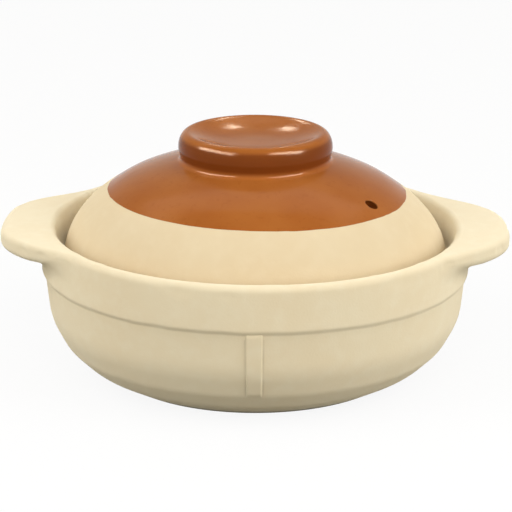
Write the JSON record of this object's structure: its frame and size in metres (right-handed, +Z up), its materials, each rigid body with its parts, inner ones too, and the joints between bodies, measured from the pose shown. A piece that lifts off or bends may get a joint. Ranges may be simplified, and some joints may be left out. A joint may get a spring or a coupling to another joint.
{
  "type": "donabe",
  "caption": "Round clay cooking pot with flat ear handles at the rim and a loose domed lid with a dished ring knob, brown glaze and a steam hole; the lid lifts straight off.",
  "frame": {"origin": "middle of the flat base, on the surface that the pot stands on", "axes": "+Z up along the pot's axis, +X along the line through the two ears, front rib on the -Y side"},
  "size_m": [0.26, 0.219, 0.1247],
  "materials": {
    "pot_clay": "matt unglazed fired clay, pale cream",
    "lid_clay": "matt unglazed fired clay, warm cream",
    "brown_glaze": "satin to glossy caramel brown glaze"
  },
  "bodies": {
    "pot": {"pot_bowl": "pot_clay", "left_ear": "pot_clay", "right_ear": "pot_clay", "front_rib": "pot_clay", "rear_rib": "pot_clay", "pot_glaze": "brown_glaze"},
    "lid": {"lid_dome": "lid_clay", "lid_knob": "lid_clay", "lid_glaze": "brown_glaze"}
  },
  "joints": [
    {"name": "lid_lift", "type": "slide", "parent": "pot", "child": "lid", "axis": [0, 0, 1], "range_m": [0, 0.12]}
  ]
}
